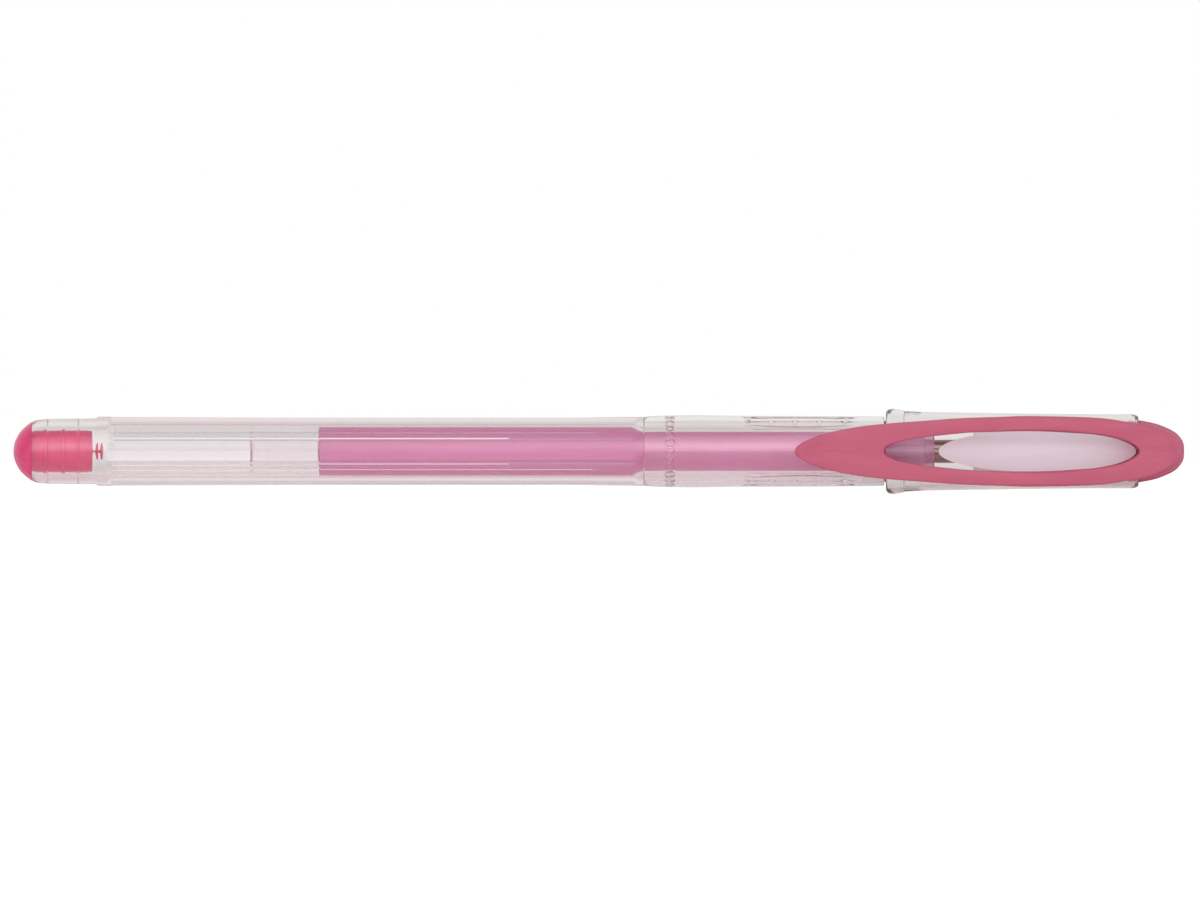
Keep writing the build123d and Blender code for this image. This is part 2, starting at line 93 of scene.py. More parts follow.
# Places and sizes taken from the frame
PEN_LENGTH = station_of(cad_high.x)
CLIP_OUTER = -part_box("clip_arm")[0].y / MM
BARREL_FROM, BARREL_TO = span("barrel_tube")
GRIP_FROM, GRIP_TO = span("grip_sleeve")
REFILL_FROM, REFILL_TO = span("refill_tube")
REFILL_RADIUS = radius_of("refill_tube")
INK_FROM, INK_TO = span("ink_column")
INK_RADIUS = radius_of("ink_column")
GREASE_FROM, _ = span("grease_follower")
HOLDER_FROM, HOLDER_TO = span("tip_holder")
TIP_FROM, TIP_TO = span("metal_tip")
TIP_RADIUS = radius_of("metal_tip")
NOSE_FROM, NOSE_TO = span("nose_cone")
CAP_FROM, CAP_TO = span("cap_tube")
CLIP_FROM, CLIP_TO = span("clip_arm")
LABEL_FROM, LABEL_TO = span("cap_label")
SPIGOT_FROM, _ = span("end_plug")
PLUG_TO = span("tail_plug")[1]
HINGE = next(j for j in frame["joints"] if j["name"] == "clip_flex")

AROUND = 144  # facets round a turned piece
LONG_RUN = 0.5  # a run of an outline longer than this gets support points
HOLD = 0.05  # how far from its ends they are
FILM = 0.02  # air left between pieces that touch, so that each keeps its own surface
SLEEVE_FILM = 0.03
SEAT_RADIUS = 3.80  # of the barrel, under the grip sleeve

# The barrel's main bore is an octagon with softened corners, which fades to round at the grip
BORE_APOTHEM = 2.63
BORE_CORNER = 1.078  # radius at a softened corner, over the apothem
FLAT_STEPS = 14
CORNER_STEPS = 3
OCTAGON_FROM = 12.4
OCTAGON_TO = 79.0
OCTAGON_FADED = 80.5
FADE_STEPS = 8
ROUND_BORE = 2.75
THREAD_BORE = 3.22

# Fine raised lines run along the bore, on the clip's side: angle up from the middle, half
# width, and first and last station
LINES_FROM, SHORT_LINES_TO, LONG_LINES_TO = 12.6, 63.3, 74.0
BORE_LINES = [
    (33.6, 0.07, LINES_FROM, SHORT_LINES_TO),
    (-33.6, 0.08, LINES_FROM, SHORT_LINES_TO),
    (48.8, 0.07, LINES_FROM, LONG_LINES_TO),
    (-48.8, 0.08, LINES_FROM, LONG_LINES_TO),
]


# ---------------------------------------------------------------- curves and meshes


def flow(points, steps=6):
    """A smooth run through the points (Catmull-Rom), with the points themselves kept."""
    ends = [points[0], *points, points[-1]]
    run = []
    for a, b, c, d in zip(ends, ends[1:], ends[2:], ends[3:]):
        for k in range(steps):
            t = k / steps
            run.append(
                tuple(
                    0.5 * (2 * q + (r - p) * t + (2 * p - 5 * q + 4 * r - s) * t**2
                           + (3 * q - p - 3 * r + s) * t**3)
                    for p, q, r, s in zip(a, b, c, d)
                )
            )
    return run + [points[-1]]


def eased(points, radius, steps=4):
    """The same open outline with each inner corner rounded to the radius."""
    out = [points[0]]
    for before, corner, after in zip(points, points[1:], points[2:]):
        to_before = [b - c for b, c in zip(before, corner)]
        to_after = [a - c for a, c in zip(after, corner)]
        reach = min(radius, 0.45 * math.hypot(*to_before), 0.45 * math.hypot(*to_after))
        first = [c + v * reach / math.hypot(*to_before) for c, v in zip(corner, to_before)]
        last = [c + v * reach / math.hypot(*to_after) for c, v in zip(corner, to_after)]
        for k in range(steps + 1):
            t = k / steps
            out.append(
                tuple(
                    (1 - t) ** 2 * f + 2 * t * (1 - t) * c + t**2 * e
                    for f, c, e in zip(first, corner, last)
                )
            )
    return out + [points[-1]]


def radius_at(outline, station):
    """Radius of an outline at a station, in straight lines between its points."""
    for (s0, r0), (s1, r1) in zip(outline, outline[1:]):
        if station <= s1:
            return r0 + (r1 - r0) * (station - s0) / (s1 - s0)
    return outline[-1][1]


def arc_steps(count):
    """Angles over a quarter turn, with both ends."""
    return [math.pi / 2 * k / count for k in range(count + 1)]


def even_angles(count=AROUND):
    return [2 * math.pi * k / count for k in range(count)]


def bore_lines():
    """Each bore line's crest angle, half width, and first and last station."""
    return [(math.radians(place) % (2 * math.pi), *rest) for place, *rest in BORE_LINES]


def line_angles():
    """Angles of the crest and the two feet of each bore line."""
    return [
        (crest + side * half / BORE_APOTHEM) % (2 * math.pi)
        for crest, half, _, _ in bore_lines() for side in (-1, 0, 1)
    ]


def line_relief(station, radius, angle):
    """Takes a bore line's height off the bore's radius on its crest."""
    if radius > BORE_APOTHEM * BORE_CORNER + 0.01:
        return 0.0
    for crest, half, first, last in bore_lines():
        if first <= station <= last and abs(angle % (2 * math.pi) - crest) < 1e-6:
            return -half
    return 0.0


def octagon_angles():
    """Angles with a facet edge at each end of the octagon's flats and softened corners."""
    half = math.pi / 8
    flat = math.acos(1 / BORE_CORNER)
    angles = []
    for side in range(8):
        middle = side * 2 * half
        angles += [middle - flat + 2 * flat * k / FLAT_STEPS for k in range(FLAT_STEPS)]
        angles += [
            middle + flat + 2 * (half - flat) * k / CORNER_STEPS for k in range(CORNER_STEPS)
        ]
    return sorted({round(a % (2 * math.pi), 9) for a in angles + line_angles()})


def octagon_reach(angle):
    """The octagon's radius at an angle, over its apothem."""
    half = math.pi / 8
    off = (angle + half) % (2 * half) - half
    return min(1 / math.cos(off), BORE_CORNER)


def held(outline):
    """The outline with an extra point close to each end of its long runs, so that a run stays
    straight when the surface is shaded smooth."""
    out = []
    for a, b in zip(outline, outline[1:] + outline[:1]):
        out.append(a)
        length = math.hypot(b[0] - a[0], b[1] - a[1])
        if length > LONG_RUN:
            for t in (HOLD / length, 1 - HOLD / length):
                out.append((a[0] + (b[0] - a[0]) * t, a[1] + (b[1] - a[1]) * t))
    return out


def turned(outline, angles=None, octagon=None, relief=None):
    """Points and faces of a solid of revolution. outline is a loop of (station, radius), and a
    radius of 0 is a pole. octagon is a bore's first and last station as an octagon, and the one
    where it has faded to round. relief(station, radius, angle) adds to the radius."""
    angles = angles or even_angles()
    count = len(angles)
    points, rings = [], []
    for station, radius in held(outline):
        if radius < 1e-6:
            rings.append([len(points)])
            points.append((station, 0.0, 0.0))
            continue
        ring = []
        for angle in angles:
            r = radius
            if octagon and octagon[0] <= station <= octagon[2] and radius < ROUND_BORE:
                share = min((octagon[2] - station) / (octagon[2] - octagon[1]), 1)
                r *= 1 + (octagon_reach(angle) - 1) * share
            if relief:
                r += relief(station, r, angle)
            ring.append(len(points))
            points.append((station, -r * math.cos(angle), r * math.sin(angle)))
        rings.append(ring)
    faces = []
    for a, b in zip(rings, rings[1:] + rings[:1]):
        for k in range(count):
            n = (k + 1) % count
            if len(a) == 1 and len(b) == 1:
                break
            if len(a) == 1:
                faces.append((a[0], b[k], b[n]))
            elif len(b) == 1:
                faces.append((a[k], b[0], a[n]))
            else:
                faces.append((a[k], b[k], b[n], a[n]))
    return points, faces


def make(name, shape, body, material, nodes=(), sharp=30, flat_inside=None):
    """A finished piece from points in (station, y, z), with its faces turned outwards."""
    points, faces = shape
    mesh = bpy.data.meshes.new(name)
    mesh.from_pydata([(TAIL_X + s * MM, y * MM, z * MM) for s, y, z in points], [], faces)
    bm = bmesh.new()
    bm.from_mesh(mesh)
    bmesh.ops.recalc_face_normals(bm, faces=bm.faces)
    for face in bm.faces:
        face.smooth = True
        if flat_inside and max(math.hypot(v.co.y, v.co.z) for v in face.verts) < flat_inside * MM:
            face.smooth = False
    bm.to_mesh(mesh)
    bm.free()
    mesh.set_sharp_from_angle(angle=math.radians(sharp))
    piece = bpy.data.objects.new(name, mesh)
    bpy.context.collection.objects.link(piece)
    mesh.materials.append(material)
    if body:
        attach(piece, body)
    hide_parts(*nodes)
    return piece


# ---------------------------------------------------------------- materials


def new_material(name):
    material = bpy.data.materials.new(name)
    material.use_nodes = True
    tree = material.node_tree
    return material, tree, tree.nodes["Principled BSDF"]


def add_node(tree, kind, **values):
    node = tree.nodes.new(kind)
    for key, value in values.items():
        if key in node.inputs:
            node.inputs[key].default_value = value
        else:
            setattr(node, key.lower(), value)
    return node


def noise(tree, scale, stretch=(1, 1, 1), detail=3.0):
    """Noise in object space, stretched along each axis."""
    coords = add_node(tree, "ShaderNodeTexCoord")
    mapping = add_node(tree, "ShaderNodeMapping")
    mapping.inputs["Scale"].default_value = stretch
    tree.links.new(coords.outputs["Object"], mapping.inputs["Vector"])
    texture = add_node(tree, "ShaderNodeTexNoise")
    texture.inputs["Scale"].default_value = scale
    texture.inputs["Detail"].default_value = detail
    tree.links.new(mapping.outputs["Vector"], texture.inputs["Vector"])
    return texture.outputs["Fac"]


def ranged(tree, value, low, high):
    """Maps noise from its usual spread to the range."""
    node = add_node(tree, "ShaderNodeMapRange")
    node.inputs["From Min"].default_value = 0.3
    node.inputs["From Max"].default_value = 0.7
    node.inputs["To Min"].default_value = low
    node.inputs["To Max"].default_value = high
    tree.links.new(value, node.inputs["Value"])
    return node.outputs["Result"]


def mixed(tree, share, first, second):
    node = add_node(tree, "ShaderNodeMix")
    node.data_type = "RGBA"
    tree.links.new(share, node.inputs["Factor"])
    node.inputs[6].default_value = (*first, 1)
    node.inputs[7].default_value = (*second, 1)
    return node.outputs[2]


def bumped(tree, shader, height, distance):
    bump = add_node(tree, "ShaderNodeBump")
    bump.inputs["Distance"].default_value = distance * MM
    bump.inputs["Strength"].default_value = 1.0
    tree.links.new(height, bump.inputs["Height"])
    tree.links.new(bump.outputs["Normal"], shader.inputs["Normal"])


def clear(name, tint, density, ior, haze=(0.0, 0.01), ripple=0.0, base=(1, 1, 1)):
    """Clear plastic: polished, with moulding ripple, and darker where light goes further in it."""
    material, tree, shader = new_material(name)
    shader.inputs["Base Color"].default_value = (*base, 1)
    shader.inputs["Transmission Weight"].default_value = 1.0
    shader.inputs["IOR"].default_value = ior
    tree.links.new(
        ranged(tree, noise(tree, 300, (1, 2, 2)), *haze), shader.inputs["Roughness"]
    )
    if ripple:
        bumped(tree, shader, noise(tree, 260, (0.25, 1, 1), 1.0), ripple)
    absorption = add_node(tree, "ShaderNodeVolumeAbsorption")
    absorption.inputs["Color"].default_value = (*tint, 1)
    absorption.inputs["Density"].default_value = density
    output = tree.nodes["Material Output"]
    tree.links.new(absorption.outputs["Volume"], output.inputs["Volume"])
    return material


# How squarely a face looks out or in: the clip is matt up to the first, and satin from the second
MATT_TO = 0.25
SATIN_FROM = 0.45


def side_walls(tree):
    """1 on faces that look up, down or along the pen, and 0 on those that look out or in."""
    coords = add_node(tree, "ShaderNodeTexCoord")
    split = add_node(tree, "ShaderNodeSeparateXYZ")
    tree.links.new(coords.outputs["Normal"], split.inputs["Vector"])
    facing = add_node(tree, "ShaderNodeMath", operation="ABSOLUTE")
    tree.links.new(split.outputs["Y"], facing.inputs[0])
    share = add_node(tree, "ShaderNodeMapRange")
    share.inputs["From Min"].default_value = SATIN_FROM
    share.inputs["From Max"].default_value = MATT_TO
    tree.links.new(facing.outputs["Value"], share.inputs["Value"])
    return share.outputs["Result"]


GLOW_SPREAD = (1.0, 0.35, 0.45)  # red light goes furthest inside the pink plastic
GLOW_DEPTH = 0.6
SATIN_GRAIN = 0.004


def moulded(name, light, dark, roughness, specular=0.5, glow=0.0, matt_walls=False):
    """Solid moulded plastic, with faint flow streaks and a fine satin grain."""
    material, tree, shader = new_material(name)
    streaks = ranged(tree, noise(tree, 700, (0.15, 1, 1), 4.0), 0, 1)
    tree.links.new(mixed(tree, streaks, dark, light), shader.inputs["Base Color"])
    satin = ranged(tree, noise(tree, 1500), roughness * 0.85, roughness * 1.15)
    if matt_walls:
        rougher = add_node(tree, "ShaderNodeMath", operation="MAXIMUM")
        tree.links.new(satin, rougher.inputs[0])
        tree.links.new(side_walls(tree), rougher.inputs[1])
        satin = rougher.outputs["Value"]
    tree.links.new(satin, shader.inputs["Roughness"])
    shader.inputs["Specular IOR Level"].default_value = specular
    shader.inputs["Subsurface Weight"].default_value = glow
    shader.inputs["Subsurface Radius"].default_value = GLOW_SPREAD
    shader.inputs["Subsurface Scale"].default_value = GLOW_DEPTH * MM
    bumped(tree, shader, noise(tree, 9000, (0.5, 1, 1)), SATIN_GRAIN)
    return material


TURNED_GRAIN = 0.002


def metal(name, colour, roughness, turned_lines=True):
    """Bare metal, with fine lines round it where it was turned."""
    material, tree, shader = new_material(name)
    shader.inputs["Metallic"].default_value = 1.0
    shader.inputs["Base Color"].default_value = (*colour, 1)
    stretch = (30, 1, 1) if turned_lines else (1, 1, 1)
    lines = noise(tree, 500, stretch)
    uneven = ranged(tree, lines, roughness * 0.7, roughness * 1.3)
    tree.links.new(uneven, shader.inputs["Roughness"])
    bumped(tree, shader, lines, TURNED_GRAIN)
    return material


INK_DEEP = (0.78, 0.25, 0.51)
INK_LIGHT = (0.90, 0.39, 0.71)
INK_METAL = 0.15


def gel_ink():
    """Metallic gel ink: soft streaks, with fine flakes that catch the light."""
    material, tree, shader = new_material("gel_ink")
    flakes = noise(tree, 12000, (1, 1, 1), 1.0)
    streaks = noise(tree, 900, (0.04, 1, 1), 3.0)
    blend = add_node(tree, "ShaderNodeMath", operation="ADD")
    tree.links.new(ranged(tree, flakes, 0.0, 0.45), blend.inputs[0])
    tree.links.new(ranged(tree, streaks, 0.0, 0.55), blend.inputs[1])
    tree.links.new(
        mixed(tree, blend.outputs[0], INK_DEEP, INK_LIGHT), shader.inputs["Base Color"]
    )
    shader.inputs["Metallic"].default_value = INK_METAL
    tree.links.new(ranged(tree, flakes, 0.38, 0.55), shader.inputs["Roughness"])
    return material


CLEAR_BARREL = clear("clear_barrel", (0.80, 0.42, 0.50), 60, 1.58, ripple=0.001)
CLEAR_GRIP = clear("clear_grip", (0.80, 0.55, 0.54), 60, 1.50, haze=(0.01, 0.05), ripple=0.01)
CLEAR_CAP = clear("clear_cap", (0.80, 0.58, 0.50), 135, 1.49, ripple=0.004)
CLEAR_REFILL = clear("refill_plastic", (0.80, 0.60, 0.66), 30, 1.49, haze=(0.01, 0.05))
LAVENDER = clear(
    "lavender_nose", (0.76, 0.20, 0.53), 270, 1.52, haze=(0.05, 0.15), base=(0.92, 0.82, 0.90)
)
PINK_TAIL = moulded("pink_tail", (0.86, 0.075, 0.235), (0.72, 0.045, 0.175), 0.22, glow=0.2)
PINK_CLIP = moulded(
    "pink_clip", (0.63, 0.147, 0.23), (0.57, 0.121, 0.20), 0.36, specular=0.2, glow=0.1,
    matt_walls=True,
)
LABEL_FILM = moulded("label_film", (0.94, 0.88, 0.95), (0.90, 0.84, 0.91), 0.35)
HOLDER_PLASTIC = moulded("holder_plastic", (0.84, 0.68, 0.76), (0.78, 0.62, 0.72), 0.4)
INNER_CAP_PLASTIC = moulded("inner_cap_plastic", (0.84, 0.82, 0.82), (0.78, 0.76, 0.76), 0.45)
SEAL_RUBBER = moulded("seal_rubber", (0.75, 0.73, 0.72), (0.68, 0.66, 0.65), 0.6)
GREASE = clear("follower_grease", (0.80, 0.62, 0.70), 70, 1.16, haze=(0.05, 0.15))
TIP_METAL = metal("tip_metal", (0.36, 0.22, 0.21), 0.10)
STEEL = metal("steel", (0.68, 0.68, 0.70), 0.18, turned_lines=False)
CARBIDE = metal("carbide", (0.35, 0.35, 0.38), 0.1, turned_lines=False)
GEL_INK = gel_ink()


# ---------------------------------------------------------------- the pen's own body


# A ring of small pips on the seat keys into cavities in the grip sleeve
BEAD_AT = 83.85
BEAD_HALF = 0.55
BEAD_PIPS = 24
BEAD_STEPS = 8
PIP_HALF = 0.45
PIP_HEIGHT = 0.08
PIP_SPREAD = 0.18  # the pips are of uneven size
CAVITY_DEPTH = 0.16
CAVITY_STEPS = 12


def pip(station, radius, angle):
    """How far the station and angle are into a pip: 1 at its middle, and 0 outside it."""
    pitch = 2 * math.pi / BEAD_PIPS
    size = 1 + PIP_SPREAD * math.sin(5 * angle)
    along = (station - BEAD_AT) / (BEAD_HALF * size)
    across = ((angle + pitch / 2) % pitch - pitch / 2) * radius / (PIP_HALF * size)
    return math.sqrt(max(0.0, 1 - along**2 - across**2))


def barrel_relief(station, radius, angle):
    """Height of the seat's pips, and of the fine lines in the bore."""
    if abs(radius - SEAT_RADIUS) < 0.01:
        return PIP_HEIGHT * pip(station, radius, angle)
    return line_relief(station, radius, angle)


def octagon_fade():
    """Stations and radii from the round bore back to the octagon."""
    just_round = ROUND_BORE - 0.001
    return [
        (OCTAGON_TO + (OCTAGON_FADED - OCTAGON_TO) * k / FADE_STEPS,
         BORE_APOTHEM + (just_round - BORE_APOTHEM) * k / FADE_STEPS)
        for k in range(FADE_STEPS - 1, -1, -1)
    ]


PLUG_BORE = 2.85  # the barrel's bore round the tail plug
PLUG_GROOVE = 2.89  # two of the plug's ribs snap into grooves
PLUG_GROOVES_AT = (8.3, 4.4)


def barrel():
    outside = (
        flow([(BARREL_FROM, 3.78), (2.9, 3.97), (3.8, 4.09), (5.0, 4.15), (8.4, 4.19)])
        + [(10.45, 4.215), (10.86, 4.44)]
        + eased([(11.4, 4.44), (12.0, 4.44), (12.9, 4.39), (14.0, 4.385)], 0.15)
        + flow([(20.0, 4.365), (26.4, 4.34), (37.9, 4.31)])
        + flow([(72.0, 4.31), (76.0, 4.37), (79.5, 4.405)])
        + eased([(80.0, 4.41), (GRIP_FROM, 4.41), (GRIP_FROM, 3.90)], 0.12)
    )
    bead = [(GRIP_FROM, SEAT_RADIUS)]
    bead += [(BEAD_AT + BEAD_HALF * k / BEAD_STEPS, SEAT_RADIUS) for k in range(-11, 12)]
    inside = [
        (GRIP_TO, SEAT_RADIUS),
        (GRIP_TO, THREAD_BORE),
        (NOSE_FROM - 0.30, THREAD_BORE),
        (NOSE_FROM - 0.32, ROUND_BORE),
        (OCTAGON_FADED, ROUND_BORE),
        *octagon_fade(),
        (LONG_LINES_TO + 0.5, BORE_APOTHEM),
        (LONG_LINES_TO, BORE_APOTHEM),
        (SHORT_LINES_TO + 0.1, BORE_APOTHEM),
        (SHORT_LINES_TO, BORE_APOTHEM),
        (LINES_FROM, BORE_APOTHEM),
        (OCTAGON_FROM, BORE_APOTHEM),
        (12.0, PLUG_BORE),
    ]
    for at in PLUG_GROOVES_AT:
        inside += [(at + 0.1, PLUG_BORE), (at, PLUG_GROOVE), (at - 0.1, PLUG_BORE)]
    inside.append((BARREL_FROM, PLUG_BORE))
    shape = turned(
        outside + bead + inside,
        octagon_angles(),
        octagon=(OCTAGON_FROM, OCTAGON_TO, OCTAGON_FADED),
        relief=barrel_relief,
    )
    return make(
        "barrel", shape, "barrel", CLEAR_BARREL, ["barrel_tube"],
        flat_inside=PLUG_BORE - 0.03,
    )


PLUG_RIBS_AT = (4.2, 6.4, 8.3)
PLUG_SPIGOT = 2.70
PLUG_RIB = 2.83
PIN_NECK = 0.06  # a moulding pin with a rounded head is left on the plug's inner end
PIN_RADIUS = 1.1
PIN_HEAD = 0.44
PIN_STEPS = 16


def tail_plug():
    shoulder = BARREL_FROM - FILM
    dome = flow(
        [(0.03, 0.55), (0.16, 1.12), (0.40, 1.72), (0.72, 2.28), (1.1, 2.76), (1.86, 3.43),
         (shoulder, 3.77)]
    )
    spigot = [(shoulder, 2.76)]
    for rib in PLUG_RIBS_AT:
        spigot += eased(
            [(rib - 0.5, PLUG_SPIGOT), (rib - 0.25, PLUG_SPIGOT), (rib - 0.2, PLUG_RIB),
             (rib + 0.2, PLUG_RIB), (rib + 0.25, PLUG_SPIGOT), (rib + 0.5, PLUG_SPIGOT)], 0.08
        )
    front = eased([(9.5, PLUG_SPIGOT), (10.1, 2.60), (10.2, 0.4), (10.3, PIN_NECK)], 0.1)
    turns = [math.pi * k / PIN_STEPS for k in range(1, PIN_STEPS)]
    front += [
        (PLUG_TO - PIN_HEAD * (1 + math.cos(a)) / 2, max(PIN_NECK, PIN_RADIUS * math.sin(a)))
        for a in turns
    ]
    shape = turned([(0.0, 0.0)] + dome + spigot + front + [(PLUG_TO, 0.0)])
    return make("tail_plug", shape, "barrel", PINK_TAIL, ["tail_plug"])


GRIP_AROUND = 288
DOTTED_FROM = 92.2
DOTTED_TO = 108.8
DOTTED_STEPS = 170
DOTTED_RADIUS = 4.545
DOTTED_TAPER = 0.065
GRIP_DOTS = (93.8, 96.8, 99.8, 102.9, 106.2)
DOT_ROWS = 6  # two of these places, under the clip and opposite it, are left plain
PLAIN_WITHIN = 0.5  # sine of the angle to either side of them that stays plain
DOT_HALF_LENGTH = 0.65
DOT_HALF_WIDTH = 0.45
DOT_HEIGHT = 0.20
DIP_AT = 100.4  # each row stands in a long shallow dip
DIP_HALF_LENGTH = 7.6
DIP_HALF_WIDTH = 1.36
DIP_EDGE = 0.30
DIP_DEPTH = 0.15
DIP_NARROWING = 0.3  # share of its width that a dip loses towards its ends
DIP_FULLNESS = 1.6


def sleeve_relief(station, radius, angle):
    """Height of the dots and dips on the sleeve's outside, and of the cavities inside it."""
    if radius < SEAT_RADIUS + 2 * SLEEVE_FILM:
        return CAVITY_DEPTH * pip(station, radius, angle)
    if abs(math.sin(angle)) < PLAIN_WITHIN:
        return 0.0
    step = 2 * math.pi / DOT_ROWS
    across = ((angle + step / 2) % step - step / 2) * radius
    along = min(abs(station - dot) for dot in GRIP_DOTS)
    rest = 1 - (along / DOT_HALF_LENGTH) ** 2 - (across / DOT_HALF_WIDTH) ** 2
    reach = max(0.0, 1 - ((station - DIP_AT) / DIP_HALF_LENGTH) ** 2)
    half_width = DIP_HALF_WIDTH * (1 - DIP_NARROWING + DIP_NARROWING * reach)
    inward = (half_width - abs(across)) / DIP_EDGE
    dip = DIP_DEPTH * min(1.0, DIP_FULLNESS * reach) * min(max(inward, 0.0), 1.0)
    return DOT_HEIGHT * max(rest, 0.0) ** 2 - dip


def grip_sleeve():
    inner = SEAT_RADIUS + SLEEVE_FILM
    start = GRIP_FROM + FILM
    lip = eased([(start, inner), (start, 4.41), (81.2, 4.48), (82.0, 4.52)], 0.15)
    rear = flow([(83.0, 4.56), (84.1, 4.58), (87.5, 4.62), (91.0, 4.56), (92.1, 4.55)])
    shares = [k / DOTTED_STEPS for k in range(DOTTED_STEPS + 1)]
    dotted = [
        (DOTTED_FROM + (DOTTED_TO - DOTTED_FROM) * share, DOTTED_RADIUS - DOTTED_TAPER * share)
        for share in shares
    ]
    front = eased([(109.4, 4.475), (GRIP_TO, 4.44), (GRIP_TO, inner)], 0.25)
    cavities = [(BEAD_AT - BEAD_HALF * k / CAVITY_STEPS, inner) for k in range(-16, 17)]
    outline = lip + rear + dotted + front + cavities
    shape = turned(outline, even_angles(GRIP_AROUND), relief=sleeve_relief)
    return make("grip_sleeve", shape, "barrel", CLEAR_GRIP, ["grip_sleeve"])


THREAD_RIDGES = (108.8, 109.9)
THREAD_ROOT = 3.0
THREAD_CREST = 3.16
NOSE_BORE = 2.66
NOSE_NECK = 2.06
NOSE_HOLE = 1.58


def nose_cone():
    thread = [(NOSE_FROM, NOSE_BORE), (NOSE_FROM, THREAD_ROOT)]
    for ridge in THREAD_RIDGES:
        thread += [(ridge, THREAD_ROOT), (ridge + 0.15, THREAD_CREST),
                   (ridge + 0.35, THREAD_CREST), (ridge + 0.5, THREAD_ROOT)]
    flange = GRIP_TO + FILM
    outside = eased(
        thread
        + [(flange, THREAD_ROOT), (flange, 3.95), (111.8, 3.95), (111.8, 3.55), (116.5, 2.55),
           (116.5, 2.62), (117.1, 2.62), (117.1, 2.40), (NOSE_TO, 2.25), (NOSE_TO, NOSE_HOLE)],
        0.08,
    )
    inside = [(116.3, NOSE_HOLE), (116.3, NOSE_NECK), (110.5, NOSE_NECK), (110.5, NOSE_BORE)]
    return make(
        "nose_cone", turned(outside + inside), "nose", LAVENDER, ["nose_cone"]
    )


# ---------------------------------------------------------------- refill


MENISCUS = 0.65  # depth of the grease's hollow rear face
GREASE_END = 0.05  # the grease stops this short of the ink
GREASE_RADIUS = INK_RADIUS * 0.985
INK_BOW = 0.25  # depth of the ink's rounded rear face
FACE_STEPS = 8
BOW_STEPS = 6


def refill_tube():
    """The tube is solid from the ink on, because the ink wets its wall."""
    outline = eased(
        [(REFILL_FROM, INK_RADIUS), (REFILL_FROM, REFILL_RADIUS), (REFILL_TO, REFILL_RADIUS),
         (REFILL_TO, 1.0)], 0.1
    ) + [(REFILL_TO, 0.0), (INK_FROM - FILM, 0.0), (INK_FROM - FILM, INK_RADIUS)]
    shape = turned(outline)
    return make("refill_tube", shape, "refill", CLEAR_REFILL, ["refill_tube"])


def grease_follower():
    start = GREASE_FROM + FILM
    rear = [
        (start + MENISCUS * (1 - (k / FACE_STEPS) ** 2), GREASE_RADIUS * k / FACE_STEPS)
        for k in range(FACE_STEPS + 1)
    ]
    front = [(INK_FROM - GREASE_END, GREASE_RADIUS), (INK_FROM - GREASE_END, 0.0)]
    shape = turned(rear + front)
    return make(
        "grease_follower", shape, "refill", GREASE, ["grease_follower"]
    )


def ink_column():
    rear = [
        (INK_FROM + INK_BOW * (k / BOW_STEPS) ** 2, INK_RADIUS * k / BOW_STEPS)
        for k in range(BOW_STEPS + 1)
    ]
    shape = turned(rear + [(INK_TO, INK_RADIUS), (INK_TO, 0.0)])
    return make("ink_column", shape, "refill", GEL_INK, ["ink_column"])


def tip_holder():
    start, flange = HOLDER_FROM + FILM, REFILL_TO + FILM
    outline = eased(
        [(start, 0.0), (start, INK_RADIUS), (flange, INK_RADIUS), (flange, REFILL_RADIUS),
         (110.4, REFILL_RADIUS), (110.4, 1.98), (HOLDER_TO, 1.98), (HOLDER_TO, 1.56),
         (117.5, 1.56), (117.5, 1.50), (HOLDER_TO, 1.50), (HOLDER_TO, 0.0)], 0.02
    )
    shape = turned(outline)
    return make("tip_holder", shape, "refill", HOLDER_PLASTIC, ["tip_holder"])


TIP_PIPE = 0.46  # radius of the fine pipe at the point's end
BALL_STEPS = 16


def metal_tip():
    outline = (
        [(TIP_FROM, 0.0)]
        + eased([(TIP_FROM, 0.6), (TIP_FROM, TIP_RADIUS), (121.6, TIP_RADIUS), (126.9, TIP_PIPE),
                 (128.1, TIP_PIPE), (TIP_TO, 0.30), (TIP_TO, 0.24)], 0.06)
        + [(128.0, 0.20), (128.0, 0.0)]
    )
    return make("metal_tip", turned(outline), "refill", TIP_METAL, ["metal_tip"])


def writing_ball():
    low, high = span("writing_ball")
    radius = (high - low) / 2
    turns = [math.pi * k / BALL_STEPS for k in range(BALL_STEPS)]
    outline = [(low + radius * (1 - math.cos(a)), radius * math.sin(a)) for a in turns]
    shape = turned(outline + [(high, 0.0)])
    return make("writing_ball_smooth", shape, "ball", CARBIDE, ["writing_ball"])


# ---------------------------------------------------------------- cap


COLLAR_RADIUS = min(cad_high.z, -cad_low.z) / MM
CAP_OUTSIDE = [(114.4, 5.12), (116.3, 5.03), (119.6, 4.97), (124.7, 4.89), (129.8, 4.81),
               (137.5, 4.74), (142.4, 4.74)]


def cap_tube():
    collar = flow([(CAP_FROM + 0.02, 4.95), (CAP_FROM + 0.12, 5.16), (CAP_FROM + 0.42, 5.36),
                   (112.4, COLLAR_RADIUS), (113.0, 5.36), (113.5, 5.28)])
    collar += [(113.78, 5.24), (113.84, 5.14)]
    end = eased([(142.9, 4.74), (CAP_TO - 0.1, 4.55), (CAP_TO, 4.25), (CAP_TO, 3.92)], 0.15)
    inside = [
        (131.0, 3.92),
        (116.0, 4.26),
        (112.4, 4.82),
        (111.9, 4.86),
        (CAP_FROM, 4.80),
    ]
    shape = turned(collar + flow(CAP_OUTSIDE) + end + inside)
    return make("cap_tube", shape, "cap", CLEAR_CAP, ["cap_tube"])


LABEL_LIFTS = (0.02, 0.07)  # the label's two skins, over the cap
LABEL_ROWS = 72
LABEL_COLUMNS = 24
LABEL_POINT = 0.01  # half width of the film at its pointed ends


